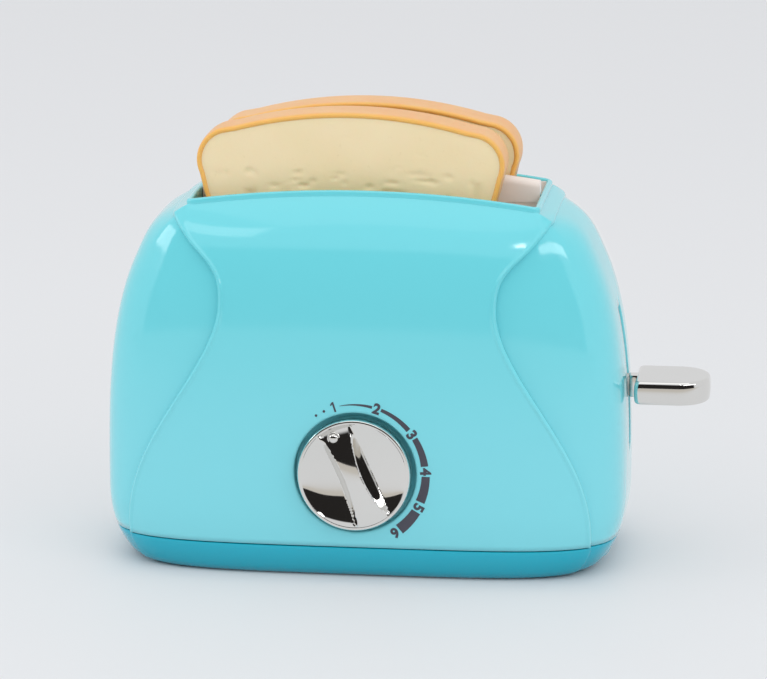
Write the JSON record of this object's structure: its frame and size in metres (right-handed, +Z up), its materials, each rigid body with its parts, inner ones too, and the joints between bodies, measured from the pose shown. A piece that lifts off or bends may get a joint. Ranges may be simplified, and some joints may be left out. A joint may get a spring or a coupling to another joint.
{
  "type": "toy toaster",
  "caption": "Toy pop-up toaster: rounded two-tone housing, sprung bread carriage with a side lever, wind-up dial knob that releases it, and toy bread slices.",
  "frame": {"origin": "centre of the flat rim the toaster rests on", "axes": "+X towards the lever, -Y towards the knob side, +Z up"},
  "size_m": [0.1962, 0.0903, 0.1478],
  "materials": {
    "aqua": "glossy moulded plastic, light aqua",
    "dark_aqua": "glossy moulded plastic, darker aqua",
    "cream": "satin moulded plastic, cream",
    "chrome": "mirror plating on plastic",
    "steel": "bright steel",
    "brass": "stamped brass",
    "crust": "soft satin plastic, toasted orange",
    "crumb": "soft satin plastic, pale cream with pores"
  },
  "bodies": {
    "housing": {"body_shell": "aqua", "base_tray": "dark_aqua", "slot_collar": "cream", "chute": "cream", "guide_rod_left": "steel", "guide_rod_right": "steel", "lift_spring_left": "steel", "lift_spring_right": "steel", "mainspring": "steel", "pallet_pin": "steel", "timer_front_plate": "steel", "timer_back_plate": "steel", "latch_pin": "steel", "latch_spring": "steel", "chute_screws": "steel", "timer_screws": "steel", "base_screws": "steel"},
    "carriage": {"carriage": "cream", "lever_grip": "chrome"},
    "slice_front": {"slice_front_crust": "crust", "slice_front_crumb": "crumb"},
    "slice_rear": {"slice_rear_crust": "crust", "slice_rear_crumb": "crumb"},
    "knob": {"knob": "chrome", "winding_arbor": "steel", "great_wheel": "brass", "release_cam": "cream"},
    "second_wheel": {"second_wheel": "brass"},
    "escape_wheel": {"escape_wheel": "brass"},
    "pallet": {"pallet": "steel"},
    "latch": {"latch_lever": "cream"}
  },
  "joints": [
    {"name": "carriage_slide", "type": "slide", "parent": "housing", "child": "carriage", "axis": [0, 0, 1], "range_m": [-0.0155, 0.021], "stiffness_N_per_m": 120, "springref_m": 0.0068, "deforming": ["lift_spring_left", "lift_spring_right"]},
    {"name": "slice_front_lift", "type": "slide", "parent": "carriage", "child": "slice_front", "axis": [0, 0, 1], "range_m": [0, 0.07]},
    {"name": "slice_rear_lift", "type": "slide", "parent": "carriage", "child": "slice_rear", "axis": [0, 0, 1], "range_m": [0, 0.07]},
    {"name": "knob_turn", "type": "hinge", "parent": "housing", "child": "knob", "pos_m": [0, -0.03, 0.0354], "axis": [0, 1, 0], "range_deg": [0, 174], "stiffness_Nm_per_rad": 0.01},
    {"name": "second_spin", "type": "hinge", "parent": "housing", "child": "second_wheel", "pos_m": [0.01631, -0.03, 0.04301], "axis": [0, 1, 0], "range_deg": [-700, 2]},
    {"name": "escape_spin", "type": "hinge", "parent": "housing", "child": "escape_wheel", "pos_m": [0.0202, -0.03, 0.02852], "axis": [0, 1, 0], "range_deg": [-2, 2790]},
    {"name": "latch_swing", "type": "hinge", "parent": "housing", "child": "latch", "pos_m": [-0.036, -0.03, 0.022], "axis": [0, 1, 0], "range_deg": [-0.1, 6.1]},
    {"name": "pallet_rock", "type": "hinge", "parent": "housing", "child": "pallet", "pos_m": [0.0251, -0.03, 0.02003], "axis": [0, 1, 0], "range_deg": [-2, 3]}
  ],
  "couplings": [
    {"joint": "second_spin", "follows": "knob_turn", "ratio": -4},
    {"joint": "escape_spin", "follows": "knob_turn", "ratio": 16},
    {"joint": "latch_swing", "follows": "knob_turn", "ratio": 0.034483}
  ]
}
